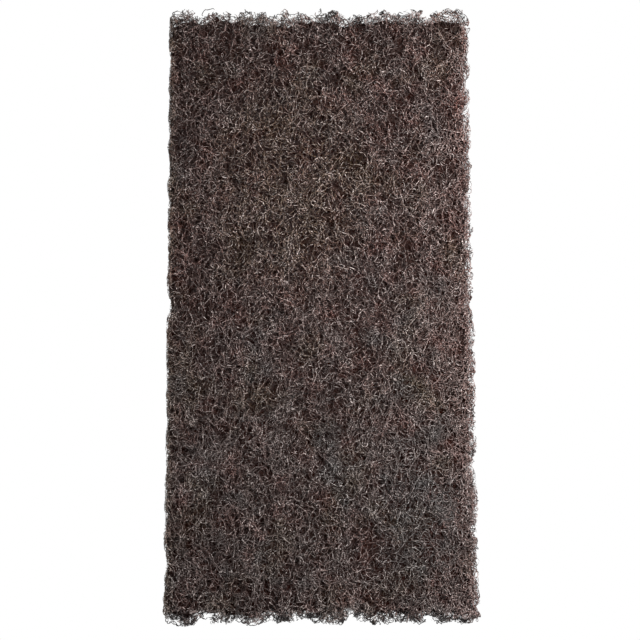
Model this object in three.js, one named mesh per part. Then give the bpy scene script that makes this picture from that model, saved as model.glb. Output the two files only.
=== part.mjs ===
// Scouring pad: one thick, springy mat of crimped nylon fibres, bonded with resin and abrasive grit.
// It is cut from a wide web, so its two faces are rough with loops of fibre and pits between them,
// its two long edges are slightly wavy, and its two ends are ragged with tufts and notches.
// Millimetres. X runs across the pad, Y along it and Z through it, with the underside at Z = 0.

import * as THREE from "three";
import { mergeVertices } from "three/addons/utils/BufferGeometryUtils.js";
import { ImprovedNoise } from "three/addons/math/ImprovedNoise.js";

// Overall size, to the tips of the fibres
const padLength = 250;
const padWidth = 125;
const padThickness = 22;

// The faces: winding ridges of looped fibre, whose tips all reach the same level, with pits between
const pitDepth = 2.4;
const pitPitch = 12;
const loopRoughness = 0.7;
const restSpotRadius = 9;

// The cut edges: how far notches cut in, how far apart they are, and how round the edges are
const endNotchDepth = 4.5;
const endNotchPitch = 13;
const sideNotchDepth = 2.2;
const sideNotchPitch = 17;
const notchHeight = 16;
const notchReach = 16;
const edgeRounding = 3;

// The mesh: cells across, along and through the pad, and how far its points stray within a cell
const cellsAcross = 34;
const cellsAlong = 68;
const cellsThrough = 6;
const strayShare = 0.22;

const webColour = 0x4d423e;
const webRoughness = 0.9;

const noise = new ImprovedNoise();

const half = new THREE.Vector3(padWidth / 2, padLength / 2, padThickness / 2);
const cell = new THREE.Vector3(
  padWidth / cellsAcross,
  padLength / cellsAlong,
  padThickness / cellsThrough,
);

// A repeatable random number from -1 to 1 for a point, one for each channel
function scatter(point, channel) {
  const mixed = point.x * 12.9898 + point.y * 78.233 + point.z * 37.719 + channel * 4.581;
  const wave = Math.sin(mixed) * 43758.5453;
  return (wave - Math.floor(wave)) * 2 - 1;
}

// Smooth noise over a flat field, mostly within -1 to 1, with features about one pitch apart
function swell(u, v, pitchU, pitchV, layer) {
  return 1.6 * noise.noise(u / pitchU + 0.37, v / pitchV + 0.61, layer);
}

// Pulls a point on the block's skin inwards so that its edges and corners are round,
// and returns the outward direction of the skin there
function roundOff(point) {
  const inner = half.clone().subScalar(edgeRounding);
  const core = point.clone().clamp(inner.clone().negate(), inner);
  const outward = point.clone().sub(core).normalize();
  point.copy(core).addScaledVector(outward, edgeRounding);
  return outward;
}

// How deep the notch in a cut edge is, at a place along the edge and a height
function notch(along, height, depth, pitch, layer) {
  const broad = swell(along, height, pitch, notchHeight, layer);
  const fine = swell(along, height, pitch / 3, notchHeight / 2, layer + 5);
  return depth * THREE.MathUtils.clamp(broad + 0.6 * fine, 0, 1);
}

// From 1 at a cut edge down to 0 where the notches no longer pull the web
function pullOf(place, edge) {
  return THREE.MathUtils.smoothstep(Math.abs(place), edge - notchReach, edge);
}

// Draws the web in behind the notches in its two long edges and its two ends
function fray(point) {
  const { x, y, z } = point;
  const side = notch(y, z, sideNotchDepth, sideNotchPitch, 20 + Math.sign(x));
  const end = notch(x, z, endNotchDepth, endNotchPitch, 40 + Math.sign(y));
  point.x -= Math.sign(x) * side * pullOf(x, half.x);
  point.y -= Math.sign(y) * end * pullOf(y, half.y);
}

// How far the skin lies below the tips of the loops: 0 on the ridges, more in the pits
function pitAt(point, outward) {
  const level = point.z < 0 ? 60 : 80;
  const fromRidge = Math.abs(swell(point.x, point.y, pitPitch, pitPitch, level));
  const pit = pitDepth * THREE.MathUtils.smoothstep(fromRidge, 0.1, 0.7);
  const loops = loopRoughness * scatter(point, 1);
  const onRestSpot = point.z < 0 && Math.hypot(point.x, point.y) < restSpotRadius;
  const share = Math.abs(outward.z) < 0.5 ? 0.5 : 1;
  return onRestSpot ? 0 : share * Math.max(0, pit + loops);
}

// Moves a point sideways within its cell, so that the cells don't line up
function stray(point, outward, seed) {
  for (const [channel, axis] of ["x", "y", "z"].entries()) {
    const freedom = 1 - Math.abs(outward[axis]);
    const clear = THREE.MathUtils.clamp((half[axis] - Math.abs(point[axis])) / cell[axis], 0, 1);
    point[axis] += strayShare * cell[axis] * freedom * clear * scatter(seed, channel + 2);
  }
}

// Turns the dividing line of about half of the block's cells, so that the skin has no grain
function turnDividingLines(block) {
  const corners = block.index.array;
  const start = new THREE.Vector3();
  for (let i = 0; i < corners.length; i += 6) {
    const [a, b, d, , c] = corners.slice(i, i + 6);
    start.fromBufferAttribute(block.getAttribute("position"), a);
    if (scatter(start, 6) > 0) corners.set([a, b, c, a, c, d], i);
  }
}

// The whole mat as one closed skin: a finely divided block, rounded, frayed and roughened
function webSkin() {
  const block = new THREE.BoxGeometry(
    padWidth,
    padLength,
    padThickness,
    cellsAcross,
    cellsAlong,
    cellsThrough,
  );
  turnDividingLines(block);
  block.deleteAttribute("normal");
  block.deleteAttribute("uv");
  const skin = mergeVertices(block);
  const places = skin.getAttribute("position");
  const point = new THREE.Vector3();
  for (let i = 0; i < places.count; i += 1) {
    point.fromBufferAttribute(places, i);
    const seed = point.clone();
    const outward = roundOff(point);
    const pit = pitAt(seed, outward);
    fray(point);
    stray(point, outward, seed);
    point.addScaledVector(outward, -pit);
    places.setXYZ(i, point.x, point.y, point.z);
  }
  skin.translate(0, 0, half.z);
  skin.computeVertexNormals();
  return skin;
}

function webMaterial() {
  return new THREE.MeshStandardMaterial({
    color: webColour,
    roughness: webRoughness,
    metalness: 0,
    flatShading: true,
  });
}

const scouringPad = new THREE.Mesh(webSkin(), webMaterial());
scouringPad.name = "scouring_pad";

const part = new THREE.Group();
part.add(scouringPad);

export default part;
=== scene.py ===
import math

import bmesh
import bpy
import numpy as np
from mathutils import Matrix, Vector, noise
from mathutils.bvhtree import BVHTree


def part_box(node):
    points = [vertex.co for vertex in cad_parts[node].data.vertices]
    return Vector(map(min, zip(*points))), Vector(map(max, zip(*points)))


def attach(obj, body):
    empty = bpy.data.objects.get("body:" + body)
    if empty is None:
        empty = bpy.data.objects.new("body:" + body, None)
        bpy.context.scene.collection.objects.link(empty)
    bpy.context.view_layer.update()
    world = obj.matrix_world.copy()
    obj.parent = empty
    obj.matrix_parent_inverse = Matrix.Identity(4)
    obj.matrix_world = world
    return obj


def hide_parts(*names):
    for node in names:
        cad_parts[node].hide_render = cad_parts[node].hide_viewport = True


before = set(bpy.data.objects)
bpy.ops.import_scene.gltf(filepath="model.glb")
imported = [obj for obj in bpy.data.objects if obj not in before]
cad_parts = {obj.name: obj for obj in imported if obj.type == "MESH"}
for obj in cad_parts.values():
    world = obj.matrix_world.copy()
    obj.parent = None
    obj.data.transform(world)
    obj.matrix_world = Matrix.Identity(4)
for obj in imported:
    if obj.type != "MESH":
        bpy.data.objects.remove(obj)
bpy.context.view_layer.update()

# The pad: one springy mat of crimped nylon fibres, air-laid, bonded with brown resin and grit,
# and cut to a rectangle. Its solid, with tufts a few millimetres wide added along its cut edges,
# gives the skin that every fibre stays under.
MM = 0.001
pad_low, pad_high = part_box("scouring_pad")
pad_middle = (pad_low + pad_high) / 2
pad_size = pad_high - pad_low
pad_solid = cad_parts["scouring_pad"].data
FACE_FROM_MIDDLE = 6 * MM
PIT_SHARE = 0.28
ON_SKIN = 1e-6

# The tufts of each cut edge: how deep the gaps between them are, and how far apart they stand
FAR_END_TUFTS = (3.6 * MM, 4.6 * MM)
NEAR_END_TUFTS = (2.8 * MM, 4.4 * MM)
RIGHT_TUFTS = (2.2 * MM, 5.0 * MM)
LEFT_TUFTS = (1.0 * MM, 8.0 * MM)
TUFT_HEIGHT = 30 * MM
TUFT_REACH = 12 * MM
GAP_STEEPNESS = 2.0
SIDE_LAYER = 3
END_LAYER = 7

# How far each cut edge is drawn in. The long sides are straighter than the solid's, and narrower
# everywhere but by the near end.
FAR_END_DRAWN_IN = 1.0 * MM
NEAR_END_DRAWN_IN = 0.7 * MM
SIDE_REACH = 3 * MM
SIDE_DRAWN_IN = 0.4 * MM
SIDE_WAVE_SHARE = 0.45
WAIST = 0.8 * MM
FLARE_FROM_END = 34 * MM


def edge_pull(place, size):
    """From 0 well inside the pad to 1 at a cut edge, for a place measured from the middle."""
    return max(abs(place) - size / 2 + TUFT_REACH, 0) / TUFT_REACH


def gap_between_tufts(along, height, tufts, layer):
    """How far the gaps between tufts of fibre cut in, at a place along a cut edge and a height."""
    depth, pitch = tufts
    wave = noise.noise(Vector((along / pitch, height / TUFT_HEIGHT, layer)))
    return depth * min(max(GAP_STEEPNESS * wave, 0), 1)


def moved_to_skin(point):
    """A point of the solid, with tufts along its edges and its pits mostly filled by loops."""
    x, y, z = point - pad_middle
    pull_x = edge_pull(x, pad_size.x)
    pull_y = edge_pull(y, pad_size.y)
    side_tufts = RIGHT_TUFTS if x > 0 else LEFT_TUFTS
    end_tufts = FAR_END_TUFTS if y > 0 else NEAR_END_TUFTS
    from_side = pad_size.x / 2 - abs(x)
    if from_side < SIDE_REACH:
        from_side = SIDE_DRAWN_IN + SIDE_WAVE_SHARE * from_side
        x = math.copysign(pad_size.x / 2 - from_side, x)
    waist = WAIST * min(max((y + pad_size.y / 2) / FLARE_FROM_END - 1, 0), 1)
    gap_x = gap_between_tufts(y, z, side_tufts, SIDE_LAYER) + waist
    moved_x = x - math.copysign(gap_x, x) * pull_x
    gap_y = gap_between_tufts(x, z, end_tufts, END_LAYER)
    gap_y += FAR_END_DRAWN_IN if y > 0 else NEAR_END_DRAWN_IN
    moved_y = y - math.copysign(gap_y, y) * pull_y
    if abs(z) > FACE_FROM_MIDDLE:
        fall = pad_size.z / 2 - abs(z)
        z = math.copysign(pad_size.z / 2 - PIT_SHARE * fall, z)
    return pad_middle + Vector((moved_x, moved_y, z))


parted = bmesh.new()
parted.from_mesh(pad_solid)
bmesh.ops.subdivide_edges(parted, edges=parted.edges, cuts=1, use_grid_fill=True)
bmesh.ops.triangulate(parted, faces=parted.faces)
parted.normal_update()
skin_faces = np.array([[v.index for v in f.verts] for f in parted.faces])
skin_normals = np.array([f.normal for f in parted.faces])
skin_points = np.array([moved_to_skin(v.co) for v in parted.verts])
parted.free()


def everywhere(middles, normals):
    return np.full(len(middles), True)


def skin_where(wanted):
    """The mat's skin, or the part of it whose faces wanted(middles, normals) accepts."""
    kept = wanted(skin_points[skin_faces].mean(1), skin_normals)
    return BVHTree.FromPolygons(skin_points.tolist(), skin_faces[kept].tolist())


def under(skin, points):
    """How far each point lies under a skin, and the direction out of the mat there."""
    depth = np.empty(len(points))
    outward = np.empty((len(points), 3))
    for i, point in enumerate(points):
        nearest, normal, _, distance = skin.find_nearest(point)
        way = nearest - Vector(point)
        depth[i] = distance if way.dot(normal) > 0 else -distance
        outward[i] = normal if distance < ON_SKIN else way / depth[i]
    return depth, outward


def stands_for_pad(piece):
    """Puts a piece of the web in the place of the pad's solid."""
    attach(piece, "root")
    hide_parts("scouring_pad")


# The camera stands almost straight above the pad and a little towards its near end, so the near
# end comes out slightly wider than the far one.
CAMERA_ELEVATION = math.radians(82)
CAMERA_DISTANCE = 0.75
FIELD_HEIGHT = 0.2570
SENSOR_WIDTH = 36.0
CAMERA_ROLL = math.radians(-0.3)
AIM_OFFSET = Vector((-0.0008, -0.0031, 0))

camera_data = bpy.data.cameras.new("camera")
camera_data.sensor_width = SENSOR_WIDTH
camera_data.lens = SENSOR_WIDTH * CAMERA_DISTANCE / FIELD_HEIGHT
camera = bpy.data.objects.new("camera", camera_data)
towards_camera = Vector((0, -math.cos(CAMERA_ELEVATION), math.sin(CAMERA_ELEVATION)))
camera.location = pad_middle + AIM_OFFSET + towards_camera * CAMERA_DISTANCE
camera.rotation_euler = (math.pi / 2 - CAMERA_ELEVATION, 0, CAMERA_ROLL)
bpy.context.scene.collection.objects.link(camera)
bpy.context.scene.camera = camera


# The colour of the web: brown resin over dark fibre, laid on unevenly, so that patches a
# fingertip wide lean to red, to olive or to grey. Every part of the mat shares it.
WEB_BROWN = (0.226, 0.158, 0.141, 1)
WEB_RED = (0.275, 0.122, 0.100, 1)
WEB_OLIVE = (0.214, 0.160, 0.096, 1)
WEB_GREY = (0.166, 0.158, 0.154, 1)
WEB_RUST = (0.235, 0.150, 0.090, 1)
WEB_GRITTY = (0.205, 0.184, 0.176, 1)
# The next colour is painted shade, not a colour of the web. It is a near-black red-brown that strands
# lying deep under the skin, and the gaps of the inside, are mixed towards.
WEB_PAINTED_SHADE = (0.020, 0.0038, 0.0018, 1)
PATCH_SIZE = 9 * MM
PATCH_DETAIL = 3.0

# Each tint's patches: its layer of noise, how many patch sizes wide they are, and the values of
# the noise between which they come up
TINT_PATCHES = (
    (WEB_RED, 0.0, 1.1, (0.46, 0.70)),
    (WEB_OLIVE, 7.3, 2.4, (0.52, 0.74)),
    (WEB_GREY, 19.1, 1.3, (0.52, 0.76)),
)
GRITTY_TONES = (1.3, 3.0)
GRITTY_SHARE = 0.8


def set_inputs(tree, node, inputs):
    """Gives each of a node's inputs its value, or links it where the value is a socket."""
    for name, value in inputs.items():
        if isinstance(value, bpy.types.NodeSocket):
            tree.links.new(value, node.inputs[name])
        else:
            node.inputs[name].default_value = value


def add_node(tree, kind, settings, inputs):
    node = tree.nodes.new(kind)
    for name, value in settings.items():
        setattr(node, name, value)
    set_inputs(tree, node, inputs)
    return node


def maths(tree, operation, *terms, clamp=False):
    settings = {"operation": operation, "use_clamp": clamp}
    return add_node(tree, "ShaderNodeMath", settings, dict(enumerate(terms))).outputs[0]


def mapped(tree, value, from_range=(0.0, 1.0), to_range=(0.0, 1.0), curve="LINEAR"):
    """A value carried from one range to another, and kept within it."""
    inputs = {
        "Value": value,
        "From Min": from_range[0],
        "From Max": from_range[1],
        "To Min": to_range[0],
        "To Max": to_range[1],
    }
    node = add_node(tree, "ShaderNodeMapRange", {"interpolation_type": curve}, inputs)
    return node.outputs["Result"]


def mixed(tree, share, first, second, blend="MIX"):
    """The first colour with a share of the second."""
    settings = {"data_type": "RGBA", "blend_type": blend}
    inputs = {"Factor": share, "A": first, "B": second}
    return add_node(tree, "ShaderNodeMix", settings, inputs).outputs["Result"]


def noise_field(tree, scale, detail, layer=None):
    """Noise through the mat. Each layer has noise of its own."""
    place = add_node(tree, "ShaderNodeTexCoord", {}, {}).outputs["Object"]
    settings = {}
    inputs = {"Vector": place, "Scale": scale, "Detail": detail}
    if layer is not None:
        settings["noise_dimensions"] = "4D"
        inputs["W"] = layer
    return add_node(tree, "ShaderNodeTexNoise", settings, inputs).outputs["Fac"]


def new_group(name, numbers, result, result_kind="NodeSocketFloat"):
    """A group that takes the numbers named and gives one result, with its given and its result."""
    group = bpy.data.node_groups.new(name, "ShaderNodeTree")
    for label, value in numbers.items():
        number = group.interface.new_socket(
            name=label, in_out="INPUT", socket_type="NodeSocketFloat"
        )
        number.default_value = value
    group.interface.new_socket(name=result, in_out="OUTPUT", socket_type=result_kind)
    given = group.nodes.new("NodeGroupInput").outputs
    return group, given, group.nodes.new("NodeGroupOutput").inputs[result]


def grouped(tree, group, inputs):
    """The result of a group at work in a tree."""
    return add_node(tree, "ShaderNodeGroup", {"node_tree": group}, inputs).outputs[0]


def resin_colour_group():
    """The resin's colour with its patches, then the tints, tone and painted shade given for each place.
    """
    numbers = {
        "Patch Size": PATCH_SIZE,
        "Tone": 1.0,
        "Redness": 0.0,
        "Rustiness": 0.0,
        "Greyness": 0.0,
        "Painted Shade": 0.0,
    }
    group, given, result = new_group("resin colour", numbers, "Color", "NodeSocketColor")
    scale = maths(group, "DIVIDE", 1.0, given["Patch Size"])
    colour = WEB_BROWN
    for tint, layer, width, noise_range in TINT_PATCHES:
        patch = noise_field(group, maths(group, "DIVIDE", scale, width), PATCH_DETAIL, layer)
        colour = mixed(group, mapped(group, patch, noise_range), colour, tint)
    for label, tint in (("Redness", WEB_RED), ("Rustiness", WEB_RUST), ("Greyness", WEB_GREY)):
        colour = mixed(group, given[label], colour, tint)
    gritty = mapped(group, given["Tone"], GRITTY_TONES, (0.0, GRITTY_SHARE))
    colour = mixed(group, gritty, colour, WEB_GRITTY)
    colour = mixed(group, 1.0, colour, given["Tone"], "MULTIPLY")
    group.links.new(mixed(group, given["Painted Shade"], colour, WEB_PAINTED_SHADE), result)
    return group


resin_colour = resin_colour_group()


# The inside of the mat: the dense web under the surface fibres, seen only through the gaps
# between them. It is the solid's own form drawn in on every side, least at the left edge, which
# the knife cut clean, and most at the right edge and the two ends, where the web has opened up.
INSIDE_LOW = Vector((0.8, 2.3, 1.2)) * MM
INSIDE_HIGH = Vector((2.8, 2.8, 2.4)) * MM
INSIDE_NOTCH_DEPTH = 6.0 * MM
INSIDE_NOTCH_PITCH = 3.2 * MM
INSIDE_NOTCH_LENGTH = 2
INSIDE_NOTCH_MIDDLE = 0.5
INSIDE_CELL = 1.6 * MM
INSIDE_ROUGHNESS = 0.3 * MM

drawn_in = bpy.data.meshes.new("drawn in")
drawn_in.from_pydata(skin_points.tolist(), [], skin_faces.tolist())
inside = bpy.data.objects.new("inner_web", drawn_in)
bpy.context.scene.collection.objects.link(inside)
for vertex in inside.data.vertices:
    x, y, z = vertex.co
    from_middle = y - pad_middle.y
    notch = noise.noise(Vector((x, y / INSIDE_NOTCH_LENGTH, z)) / INSIDE_NOTCH_PITCH)
    cut = INSIDE_NOTCH_DEPTH * (INSIDE_NOTCH_MIDDLE + notch) * edge_pull(from_middle, pad_size.y)
    vertex.co.y -= math.copysign(cut, from_middle)
    for axis in range(3):
        share = (vertex.co[axis] - pad_low[axis]) / pad_size[axis]
        low = pad_low[axis] + INSIDE_LOW[axis]
        high = pad_high[axis] - INSIDE_HIGH[axis]
        vertex.co[axis] = low + share * (high - low)
remesh = inside.modifiers.new("even cells", "REMESH")
remesh.mode = "VOXEL"
remesh.voxel_size = INSIDE_CELL
bpy.context.view_layer.update()
inside_mesh = bpy.data.meshes.new_from_object(
    inside.evaluated_get(bpy.context.evaluated_depsgraph_get())
)
inside.modifiers.remove(remesh)
inside.data = inside_mesh
inside_mesh.name = "inner_web"
rng = np.random.default_rng(11)
places = np.array([v.co for v in inside_mesh.vertices])
normals = np.array([v.normal for v in inside_mesh.vertices])
places += normals * rng.normal(0, 1, (len(places), 1)) * INSIDE_ROUGHNESS
inside_mesh.vertices.foreach_set("co", places.astype(np.float32).ravel())
inside_mesh.polygons.foreach_set("use_smooth", [True] * len(inside_mesh.polygons))
inside_mesh.update()

BURIED_STRAND_GAP = 1.7 * MM
BURIED_STRAND_SHARE = 0.06
BURIED_STRAND_WEIGHTS = (1.0, 0.8, 0.55, 0.35)
BURIED_LAYER_STEP = 3.7
BURIED_PAINTED_SHADE = (1.0, 0.6)


def buried_strands_group():
    """Winding lines, as of buried strands: where noise crosses its middle value, four times over."""
    numbers = {"Strand Gap": BURIED_STRAND_GAP, "Strand Share": BURIED_STRAND_SHARE}
    group, given, result = new_group("buried strands", numbers, "Height")
    scale = maths(group, "DIVIDE", 1.0, given["Strand Gap"])
    height = 0.0
    for layer, weight in enumerate(BURIED_STRAND_WEIGHTS):
        field = noise_field(group, scale, 1.0, layer * BURIED_LAYER_STEP)
        off = maths(group, "ABSOLUTE", maths(group, "SUBTRACT", field, 0.5))
        line = mapped(group, off, (0.0, given["Strand Share"]), (weight, 0.0), "SMOOTHSTEP")
        height = maths(group, "MAXIMUM", height, line)
    group.links.new(height, result)
    return group


def bumped(tree, height, distance):
    node = add_node(tree, "ShaderNodeBump", {}, {"Height": height, "Distance": distance})
    return node.outputs["Normal"]


def inside_material():
    material = bpy.data.materials.new("shaded web")
    material.use_nodes = True
    tree = material.node_tree
    lines = grouped(tree, buried_strands_group(), {})
    # Painted shade: the inside is coloured near black. Between the winding lines it gets the full painted
    # shade colour, and on them most of it, so the gaps between the surface fibres read as dark pits.
    painted_shade = mapped(tree, lines, to_range=BURIED_PAINTED_SHADE)
    set_inputs(tree, tree.nodes["Principled BSDF"], {
        "Base Color": grouped(tree, resin_colour, {"Painted Shade": painted_shade}),
        "Roughness": 0.8,
        "Specular IOR Level": 0.05,
        "Normal": bumped(tree, lines, 0.6 * MM),
    })
    return material


inside_mesh.materials.clear()
inside_mesh.materials.append(inside_material())
stands_for_pad(inside)


# The fibres at the surface: crimped nylon staple, a fifth of a millimetre thick with its coat of
# resin. Each wanders under the skin in tight uneven curls, dives below others and comes up again.
STRAND_RADIUS = 0.102 * MM
RADIUS_SPREAD = (0.75, 1.3)
WIDTH_SPREAD = (0.8, 1.2)
END_TAPER = 0.5
STRAND_STEPS = 24
LOOP_STEPS = 48
LEVELLING = 0.5
TWIST = 1.0
CRIMP = (-0.4, 2.2)
LIE_FLAT = 0.03
LENGTHWISE = np.array((1, 1.11, 1))
HOMING = 0.8
MOST_STRAY = 1.5
LEAST_DEPTH = 0.12 * MM
HELD_IN_FROM = 0.35 * MM
MOST_HELD_IN = 2.5

whole_skin = skin_where(everywhere)


def unit(vectors):
    return vectors / np.maximum(np.linalg.norm(vectors, axis=-1, keepdims=True), 1e-12)


def across(vectors, axes):
    """The part of each vector that is square to its axis, as a unit vector."""
    return unit(vectors - axes * (vectors * axes).sum(-1, keepdims=True))


def seeds_on_skin(count, wanted, rng):
    """Random points, by area, on those faces of the skin that wanted(middles, normals) accepts."""
    corners = skin_points[skin_faces]
    turned = np.cross(corners[:, 1] - corners[:, 0], corners[:, 2] - corners[:, 0])
    area = np.linalg.norm(turned, axis=1) * wanted(corners.mean(1), skin_normals)
    faces = rng.choice(len(area), count, p=area / area.sum())
    u, v = rng.random((2, count, 1))
    folded = u + v > 1
    u, v = np.where(folded, 1 - u, u), np.where(folded, 1 - v, v)
    first, second, third = corners[faces].transpose(1, 0, 2)
    return first + u * (second - first) + v * (third - first), unit(turned[faces])


def grow(seeds, outward, home, skin, freedom, pitch, curls, steps, rng):
    """The paths of curled strands that start at seeds and wander about a home depth under a skin."""
    count = len(seeds)
    path = np.empty((steps + 1, count, 3))
    out_of_mat = np.empty_like(path)
    skin_depth = np.empty((steps + 1, count))
    path[0] = seeds - outward * home[:, None]
    heading = across(rng.normal(size=(count, 3)), outward)
    bend = across(rng.normal(size=(count, 3)), heading)
    mean_curl = 1 / (rng.uniform(*curls, (count, 1)) * MM)
    margin = Vector((LEAST_DEPTH, LEAST_DEPTH, LEAST_DEPTH))
    for step in range(steps + 1):
        skin_depth[step], out_of_mat[step] = under(whole_skin, path[step])
        outside = np.clip(LEAST_DEPTH - skin_depth[step], 0, None)
        path[step] -= out_of_mat[step] * outside[:, None]
        path[step] = np.clip(path[step], pad_low + margin, pad_high - margin)
        skin_depth[step] += outside
        if step == steps:
            break
        depth, out = under(skin, path[step])
        stray = np.clip((depth - home) / freedom, -MOST_STRAY, MOST_STRAY)
        lift = HOMING * stray * np.abs(stray) - LIE_FLAT * (heading * out).sum(1)
        held_in = np.clip(1 - skin_depth[step] / HELD_IN_FROM, 0, MOST_HELD_IN)
        curl = mean_curl * rng.uniform(*CRIMP, (count, 1))
        heading = heading + pitch * curl * bend
        heading = heading + lift[:, None] * out - held_in[:, None] * out_of_mat[step]
        heading = unit(heading * LENGTHWISE)
        turn = rng.normal(0, TWIST, (count, 1))
        bend = across(bend, heading)
        bend = bend * np.cos(turn) + np.cross(heading, bend) * np.sin(turn)
        path[step + 1] = path[step] + heading * pitch
    return path, out_of_mat, skin_depth


def tube_points(path, out_of_mat, radius, sides, rng):
    """The corners of every ring of every strand. Flat strips, of two sides, lie with the skin."""
    rings, count, _ = path.shape
    heading = unit(np.gradient(path, axis=0))
    side = np.empty_like(path)
    side[0] = across(rng.normal(size=(count, 3)), heading[0])
    for step in range(1, rings):
        level = np.cross(out_of_mat[step], heading[step])
        level *= np.sign((level * side[step - 1]).sum(-1, keepdims=True))
        side[step] = across(side[step - 1] + LEVELLING * level, heading[step])
    up = np.cross(heading, side)
    turn = 2 * np.pi * np.arange(sides) / sides
    width = radius * rng.uniform(*WIDTH_SPREAD, (rings, count))
    width[[0, -1]] *= END_TAPER
    ring = side[:, :, None] * np.cos(turn)[:, None] + up[:, :, None] * np.sin(turn)[:, None]
    points = (path[:, :, None] + ring * width[:, :, None, None]).transpose(1, 0, 2, 3)
    return points.reshape(-1, 3)


def tube_faces(count, rings, sides):
    """The faces between the rings, and those that close the ends of a tube."""
    corner = np.arange(sides if sides > 2 else 1)
    after = (corner + 1) % sides
    first = np.arange(count)[:, None, None] * rings * sides + np.arange(rings - 1)[:, None] * sides
    faces = np.stack(
        [first + corner, first + after, first + sides + after, first + sides + corner], -1
    ).reshape(-1, 4).tolist()
    if sides > 2:
        starts = np.arange(count)[:, None] * rings * sides
        faces += (starts + corner[::-1]).tolist()
        faces += (starts + (rings - 1) * sides + corner).tolist()
    return faces


# How the resin lies on the strands, with the painted light and painted shade laid over it: the right edge
# is painted lighter and carries less painted shade, and this fades out towards the near end. A ramp is a
# value where the distance is 0, and the distance over which it goes up by 1. A patch is its middle and
# its reach from there, across and along.
STRAND_TONE_SPREAD = 0.25
RING_TONE = (-0.13, 0.62)
BRIGHTEST_TONE = 2.5
SKIN_DEPTH_SHARE = 0.75
FAR_RAMP = (0.6, 80 * MM)
NEAR_CONTRAST = 0.90
NEAR_PAINTED_SHADE = 0.94
FAR_CONTRAST = 0.31
FAR_REDNESS = 0.45
NEAR_GREYNESS = 0.2
RIGHT_PAINTED_LIGHT = 0.5
RIGHT_PAINTED_LIGHT_RAMP = (1.1, -30 * MM)
NEAR_PAINTED_LIGHT_RAMP = (0.45, 80 * MM)
RIGHT_REDNESS_RAMP = (1.1, -14 * MM)
LEFT_RUST_RAMP = (1.2, -5 * MM)
EDGE_TINTS = (0.3, 1)
RUST_PATCH = ((-0.012, 0.051), (0.034, 0.048))
RUST_PATCH_TINTS = (0, 0.9)
GREY_PATCH = ((0.040, -0.084), (0.026, 0.034))
GREY_PATCH_TINTS = (0.1, 0.9)
PATCH_MIDDLE = 1.2
PAINTED_LIGHT_PALER = 0.27
RUST_PALER = 0.12
GREY_DARKER = 0.13


def on_ramp(distance, ramp):
    start, rise = ramp
    return np.clip(start + distance / rise, 0, 1)


def within_patch(points, patch):
    """From 1 in the middle of a patch of resin to 0 past its reach."""
    middle, reach = patch
    off = (points[..., :2] - np.array(middle)) / np.array(reach)
    return np.clip(PATCH_MIDDLE - (off**2).sum(-1), 0, 1)


def depth_below_tips(points):
    """How far points lie inside the box that the tips of the loops reach."""
    low = points - np.array(pad_low)
    high = np.array(pad_high) - points
    return np.minimum(low, high).min(-1)


def strand_marks(path, skin_depth, shading, rng):
    """The tone, tints, painted light and painted shade of the resin at every ring of every strand."""
    rings, count, _ = path.shape
    below = SKIN_DEPTH_SHARE * skin_depth + (1 - SKIN_DEPTH_SHARE) * depth_below_tips(path)
    # Painted shade: each ring is mixed further towards the painted shade colour as it lies deeper, from
    # shade_from to shade_to millimetres under the skin.
    shade_from, shade_to, shade = shading
    painted_shade = np.clip((below / MM - shade_from) / (shade_to - shade_from), 0, 1)
    strand_tone = np.exp(rng.normal(0, STRAND_TONE_SPREAD, count))
    tone = strand_tone * np.exp(rng.normal(*RING_TONE, (rings, count)))
    from_left = path[:, :, 0] - pad_low.x
    from_right = pad_high.x - path[:, :, 0]
    from_near = path[:, :, 1] - pad_low.y
    far = on_ramp(path[:, :, 1] - pad_middle.y, FAR_RAMP)
    # Painted light: strands are painted lighter by the right edge, on the lamp's side, and less so
    # towards the near end. This also flattens their tone and takes off some painted shade.
    painted_light = RIGHT_PAINTED_LIGHT * on_ramp(from_right, RIGHT_PAINTED_LIGHT_RAMP)
    painted_light *= on_ramp(from_near, NEAR_PAINTED_LIGHT_RAMP)
    rusty = within_patch(path, RUST_PATCH)
    grey = within_patch(path, GREY_PATCH)
    tone = tone ** (NEAR_CONTRAST + FAR_CONTRAST * far - painted_light)
    painted_light_and_patch_paleness = 1 + PAINTED_LIGHT_PALER * painted_light + RUST_PALER * rusty - GREY_DARKER * grey
    redness = on_ramp(from_right, RIGHT_REDNESS_RAMP) * rng.uniform(*EDGE_TINTS, count)
    redness = np.maximum(redness, FAR_REDNESS * far * rng.uniform(0, 1, count))
    rustiness = on_ramp(from_left, LEFT_RUST_RAMP) * rng.uniform(*EDGE_TINTS, count)
    rustiness += rusty * rng.uniform(*RUST_PATCH_TINTS, count)
    greyness = grey * rng.uniform(*GREY_PATCH_TINTS, count)
    return {
        # The tone carries each layer's painted light or shade and the right edge's painted light, besides
        # the resin's own random tone and patches.
        "Tone": shade * painted_light_and_patch_paleness * np.minimum(tone, BRIGHTEST_TONE),
        "Redness": redness,
        "Rustiness": rustiness,
        "Greyness": np.maximum(greyness, NEAR_GREYNESS * (1 - far)),
        "Painted Shade": np.clip(painted_shade * (NEAR_PAINTED_SHADE + FAR_CONTRAST * far - painted_light), 0, 1),
    }


def spread_for_baking(mesh, count, owner, u, v):
    """Lays each strand or grain out on a small square of its own, in the UV map OFBake."""
    squares = math.ceil(math.sqrt(count))
    row, column = np.divmod(owner, squares)
    places = np.stack([(column + u) / squares, (row + v) / squares], 1)
    layout = mesh.uv_layers.new(name="OFBake")
    layout.data.foreach_set("uv", places.astype(np.float32).ravel())


SQUARE_MARGIN = 0.1
SQUARE_USED = 0.8


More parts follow.
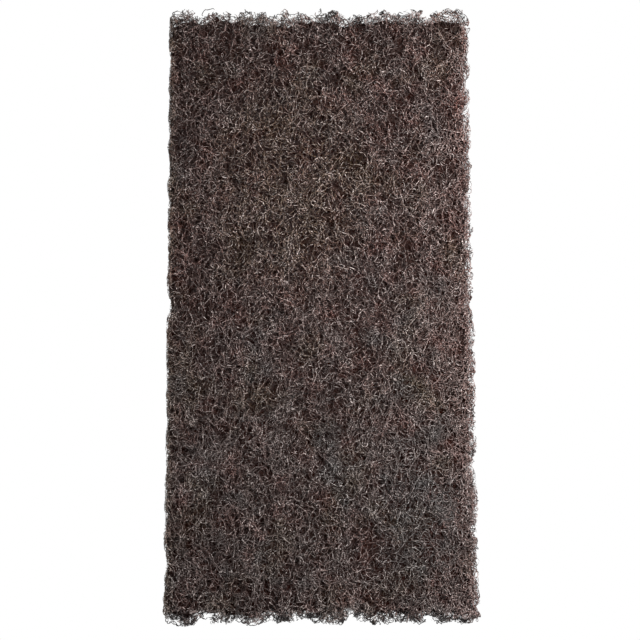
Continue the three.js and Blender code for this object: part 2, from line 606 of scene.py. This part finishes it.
def strand_mesh(name, path, out_of_mat, skin_depth, radius, sides, shading, rng):
    """Strands along the paths: closed tubes with three sides, or flat strips with two."""
    rings, count, _ = path.shape
    points = tube_points(path, out_of_mat, radius, sides, rng)
    faces = tube_faces(count, rings, sides)
    mesh = bpy.data.meshes.new(name)
    mesh.from_pydata(points, [], faces)
    for label, values in strand_marks(path, skin_depth, shading, rng).items():
        held = mesh.attributes.new(label, "FLOAT", "POINT")
        held.data.foreach_set("value", np.repeat(values.T, sides, 1).astype(np.float32).ravel())
    corners = np.array([corner for face in faces for corner in face])
    strand, ring_and_side = np.divmod(corners, rings * sides)
    along, around = np.divmod(ring_and_side, sides)
    u = SQUARE_MARGIN + SQUARE_USED * along / (rings - 1)
    v = SQUARE_MARGIN + SQUARE_USED * around / sides
    spread_for_baking(mesh, count, strand, u, v)
    mesh.polygons.foreach_set("use_smooth", [True] * len(mesh.polygons))
    mesh.update()
    return mesh


BEAD_SIZE = 0.5 * MM
BEAD_NOISE = (0.37, 0.63)
COAT_TONES = (0.0, 2.1)
COAT_ROUGHNESS = (0.6, 0.3)


def grit_and_beads_group():
    """The grit and beads of resin along the fibres, from 0 in bare spots to 1 on grains."""
    group, given, result = new_group("grit and beads", {"Grain Size": BEAD_SIZE}, "Grain")
    scale = maths(group, "DIVIDE", 1.0, given["Grain Size"])
    group.links.new(mapped(group, noise_field(group, scale, 1.0), BEAD_NOISE), result)
    return group


def strand_material():
    material = bpy.data.materials.new("resin coated fibre")
    material.use_nodes = True
    tree = material.node_tree
    marks = {}
    for label in ("Tone", "Redness", "Rustiness", "Greyness", "Painted Shade"):
        mark = add_node(tree, "ShaderNodeAttribute", {"attribute_name": label}, {})
        marks[label] = mark.outputs["Fac"]
    grain = grouped(tree, grit_and_beads_group(), {})
    coat = mapped(tree, grain, to_range=COAT_TONES)
    marks["Tone"] = maths(tree, "MULTIPLY", marks["Tone"], coat)
    set_inputs(tree, tree.nodes["Principled BSDF"], {
        "Base Color": grouped(tree, resin_colour, marks),
        "Roughness": mapped(tree, grain, to_range=COAT_ROUGHNESS),
        "Specular IOR Level": 0.35,
        "Normal": bumped(tree, grain, 0.1 * MM),
    })
    return material


coated_fibre = strand_material()
GRIT_DEPTH = 0.8 * MM


def lay_strands(
    name, count, sides, wanted, depths, seed, freedom=1.0, curls=(0.55, 3.0), pitch=0.92,
    shading=(0.3, 1.7, 1.12), thickness=1.0, steps=STRAND_STEPS,
):
    """A piece made of strands grown from the faces that wanted accepts, at home between depths.

    Depths, freedom, curls, pitch and the first two numbers of shading are in millimetres. Gives
    the places near the skin, where grit can sit.
    """
    rng = np.random.default_rng(seed)
    seeds, outward = seeds_on_skin(count, wanted, rng)
    home = rng.uniform(*depths, count) * MM
    skin = skin_where(wanted)
    path, out_of_mat, skin_depth = grow(
        seeds, outward, home, skin, freedom * MM, pitch * MM, curls, steps, rng
    )
    radius = thickness * STRAND_RADIUS * rng.uniform(*RADIUS_SPREAD, count)
    mesh = strand_mesh(name, path, out_of_mat, skin_depth, radius, sides, shading, rng)
    mesh.materials.append(coated_fibre)
    piece = bpy.data.objects.new(name, mesh)
    bpy.context.scene.collection.objects.link(piece)
    stands_for_pad(piece)
    return path[skin_depth < GRIT_DEPTH]


# Which faces of the skin each layer grows from, told by how far they tilt and where they are
FACE_TILT = 0.5
EDGE_TILT = 0.6
END_FRINGE = 8 * MM
RIGHT_FRINGE = 3.5 * MM
LEFT_CORNER = 6 * MM


def clear_of_ends(middles, distance):
    return np.abs(middles[:, 1] - pad_middle.y) < pad_size.y / 2 - distance


def clear_of_fringes(middles):
    return clear_of_ends(middles, END_FRINGE) & (middles[:, 0] < pad_high.x - RIGHT_FRINGE)


def facing_up(middles, normals):
    return (normals[:, 2] > FACE_TILT) & clear_of_fringes(middles)


def facing_down(middles, normals):
    return (normals[:, 2] < -FACE_TILT) & clear_of_fringes(middles)


def facing_left(middles, normals):
    return (normals[:, 0] < -EDGE_TILT) & clear_of_ends(middles, LEFT_CORNER)


def facing_right(middles, normals):
    return normals[:, 0] > EDGE_TILT


def facing_ends(middles, normals):
    return np.abs(normals[:, 1]) > EDGE_TILT


OUTLINE = {"freedom": 0.6, "curls": (0.4, 1.6), "pitch": 0.55, "thickness": 1.5, "steps": 16}
CUT_EDGE = {"freedom": 0.8, "curls": (0.4, 1.6), "pitch": 0.7, "thickness": 1.25}

# Each layer: its name, how many strands of how many sides, where they grow, their home and seed
# The last number of each layer's shading is painted light or shade for that whole layer. It is darkest on
# the fringes of the outline.
strand_places = [
    lay_strands("upper_strips_deep", 3400, 2, facing_up, (1.0, 2.0), 21),
    lay_strands("upper_strips", 4160, 2, facing_up, (0.3, 1.4), 22),
    lay_strands("upper_loops", 240, 3, facing_up, (0.2, 0.7), 23, steps=LOOP_STEPS),
    lay_strands("lower_strips", 2600, 2, facing_down, (0.2, 1.0), 24),
    lay_strands("lower_loops", 70, 3, facing_down, (0.2, 0.7), 25, steps=LOOP_STEPS),
    lay_strands("end_fringe", 520, 3, facing_ends, (0.2, 2.8), 26, shading=(2, 9, 0.13), **OUTLINE),
    lay_strands("end_strips", 1350, 2, facing_ends, (1.2, 6.0), 27, shading=(1.8, 10, 1.3), **CUT_EDGE),
    lay_strands("left_fringe", 235, 3, facing_left, (0.2, 0.5), 28, shading=(1, 5, 0.7), **OUTLINE),
    lay_strands("left_strips", 1000, 2, facing_left, (0.3, 1.5), 29, shading=(1.5, 6, 1.1), **CUT_EDGE),
    lay_strands("right_fringe", 325, 3, facing_right, (0.2, 1.8), 30, shading=(1, 5, 0.28), **OUTLINE),
    lay_strands("right_strips", 1100, 2, facing_right, (1.5, 3.8), 31, shading=(1.6, 7, 1.2), **CUT_EDGE),
]


# The grit: crushed mineral grains held on the outermost fibres by the resin, most of them in the
# far half. Their broken faces catch the light as small pale specks.
GRAIN_COUNT = 7000
GRAIN_RADIUS = (0.10 * MM, 0.24 * MM)
GRAIN_STRAY = 0.35
GRAIN_CORNERS = np.array(
    [(1, 0, 0), (-1, 0, 0), (0, 1, 0), (0, -1, 0), (0, 0, 1), (0, 0, -1)], dtype=float
)
GRAIN_FACES = np.array(
    [(0, 2, 4), (2, 1, 4), (1, 3, 4), (3, 0, 4), (2, 0, 5), (1, 2, 5), (3, 1, 5), (0, 3, 5)]
)
MIDDLE_CROWDING = 1.6
CROWDING_GAIN = 2
FACE_ON_SQUARE = ((0.2, 0.8, 0.5), (0.2, 0.2, 0.8))
GRIT_DARK = (0.20, 0.165, 0.150, 1)
GRIT_PALE = (0.57, 0.53, 0.50, 1)
GRIT_SPECKS = 600.0

rng = np.random.default_rng(41)
places = np.concatenate(strand_places)
crowding = MIDDLE_CROWDING + places[:, 1] / pad_size.y * CROWDING_GAIN
chosen = rng.choice(len(places), GRAIN_COUNT, replace=False, p=crowding / crowding.sum())
grain_size = rng.uniform(*GRAIN_RADIUS, (GRAIN_COUNT, 1, 1))
corners = GRAIN_CORNERS + rng.uniform(-GRAIN_STRAY, GRAIN_STRAY, (GRAIN_COUNT, 6, 3))
points = places[chosen][:, None] + corners * grain_size
faces = np.arange(GRAIN_COUNT)[:, None, None] * 6 + GRAIN_FACES
grit_mesh = bpy.data.meshes.new("grit")
grit_mesh.from_pydata(points.reshape(-1, 3), [], faces.reshape(-1, 3).tolist())
face_count = GRAIN_COUNT * len(GRAIN_FACES)
face_u, face_v = np.tile(FACE_ON_SQUARE, face_count)
grain = np.repeat(np.arange(GRAIN_COUNT), GRAIN_FACES.size)
spread_for_baking(grit_mesh, GRAIN_COUNT, grain, face_u, face_v)
grit_mesh.update()

grit_material = bpy.data.materials.new("crushed grit")
grit_material.use_nodes = True
tree = grit_material.node_tree
set_inputs(tree, tree.nodes["Principled BSDF"], {
    "Base Color": mixed(tree, noise_field(tree, GRIT_SPECKS, 2.0), GRIT_DARK, GRIT_PALE),
    "Roughness": 0.45,
})
grit_mesh.materials.append(grit_material)
grit_piece = bpy.data.objects.new("grit", grit_mesh)
bpy.context.scene.collection.objects.link(grit_piece)
stands_for_pad(grit_piece)


# The floor is a plain white sheet, which the camera sees as pure white.
FLOOR_SIZE = 6.0
FLOOR_BELOW = 0.2 * MM
FLOOR_WHITE = (0.85, 0.85, 0.85, 1)
FLOOR_GLOW = 1.0


def ray_share(tree, share):
    """The share of white to show: all of share to camera, glossy and transmission rays, else 0."""
    rays = add_node(tree, "ShaderNodeLightPath", {}, {}).outputs
    either = maths(tree, "ADD", rays["Is Camera Ray"], rays["Is Glossy Ray"])
    some = maths(tree, "ADD", either, rays["Is Transmission Ray"])
    return maths(tree, "MULTIPLY", some, share, clamp=True)


bpy.ops.mesh.primitive_plane_add(size=FLOOR_SIZE, location=(0, 0, pad_low.z - FLOOR_BELOW))
floor = bpy.context.object
floor.name = "floor"
floor_material = bpy.data.materials.new("white floor")
floor_material.use_nodes = True
tree = floor_material.node_tree
floor_shader = tree.nodes["Principled BSDF"]
set_inputs(tree, floor_shader, {"Base Color": FLOOR_WHITE, "Roughness": 0.9})
glow = add_node(tree, "ShaderNodeEmission", {}, {})
shown = {0: ray_share(tree, FLOOR_GLOW), 1: floor_shader.outputs[0], 2: glow.outputs[0]}
blend = add_node(tree, "ShaderNodeMixShader", {}, shown)
tree.links.new(blend.outputs[0], tree.nodes["Material Output"].inputs["Surface"])
floor.data.materials.append(floor_material)

# Light: a dim white room and one small lamp above the pad's right edge, so that the loops catch
# the light on one side and the pits between them stay dark.
ROOM_LIGHT = 0.064
LAMP_PLACE = Vector((0.24, 0.03, 0.28))
LAMP_SIZE = 0.05
LAMP_POWER = 1.38

world = bpy.data.worlds.new("room")
world.use_nodes = True
tree = world.node_tree
strength = mapped(tree, ray_share(tree, 1.0), to_range=(ROOM_LIGHT, 1.0))
background = tree.nodes["Background"]
set_inputs(tree, background, {"Color": (1, 1, 1, 1), "Strength": strength})
bpy.context.scene.world = world
lamp_data = bpy.data.lights.new("lamp", "AREA")
lamp_data.size = LAMP_SIZE
lamp_data.energy = LAMP_POWER
lamp = bpy.data.objects.new("lamp", lamp_data)
lamp.location = LAMP_PLACE
lamp.rotation_euler = (-LAMP_PLACE).to_track_quat("-Z", "Y").to_euler()
bpy.context.scene.collection.objects.link(lamp)

bpy.context.scene.view_settings.view_transform = "Standard"
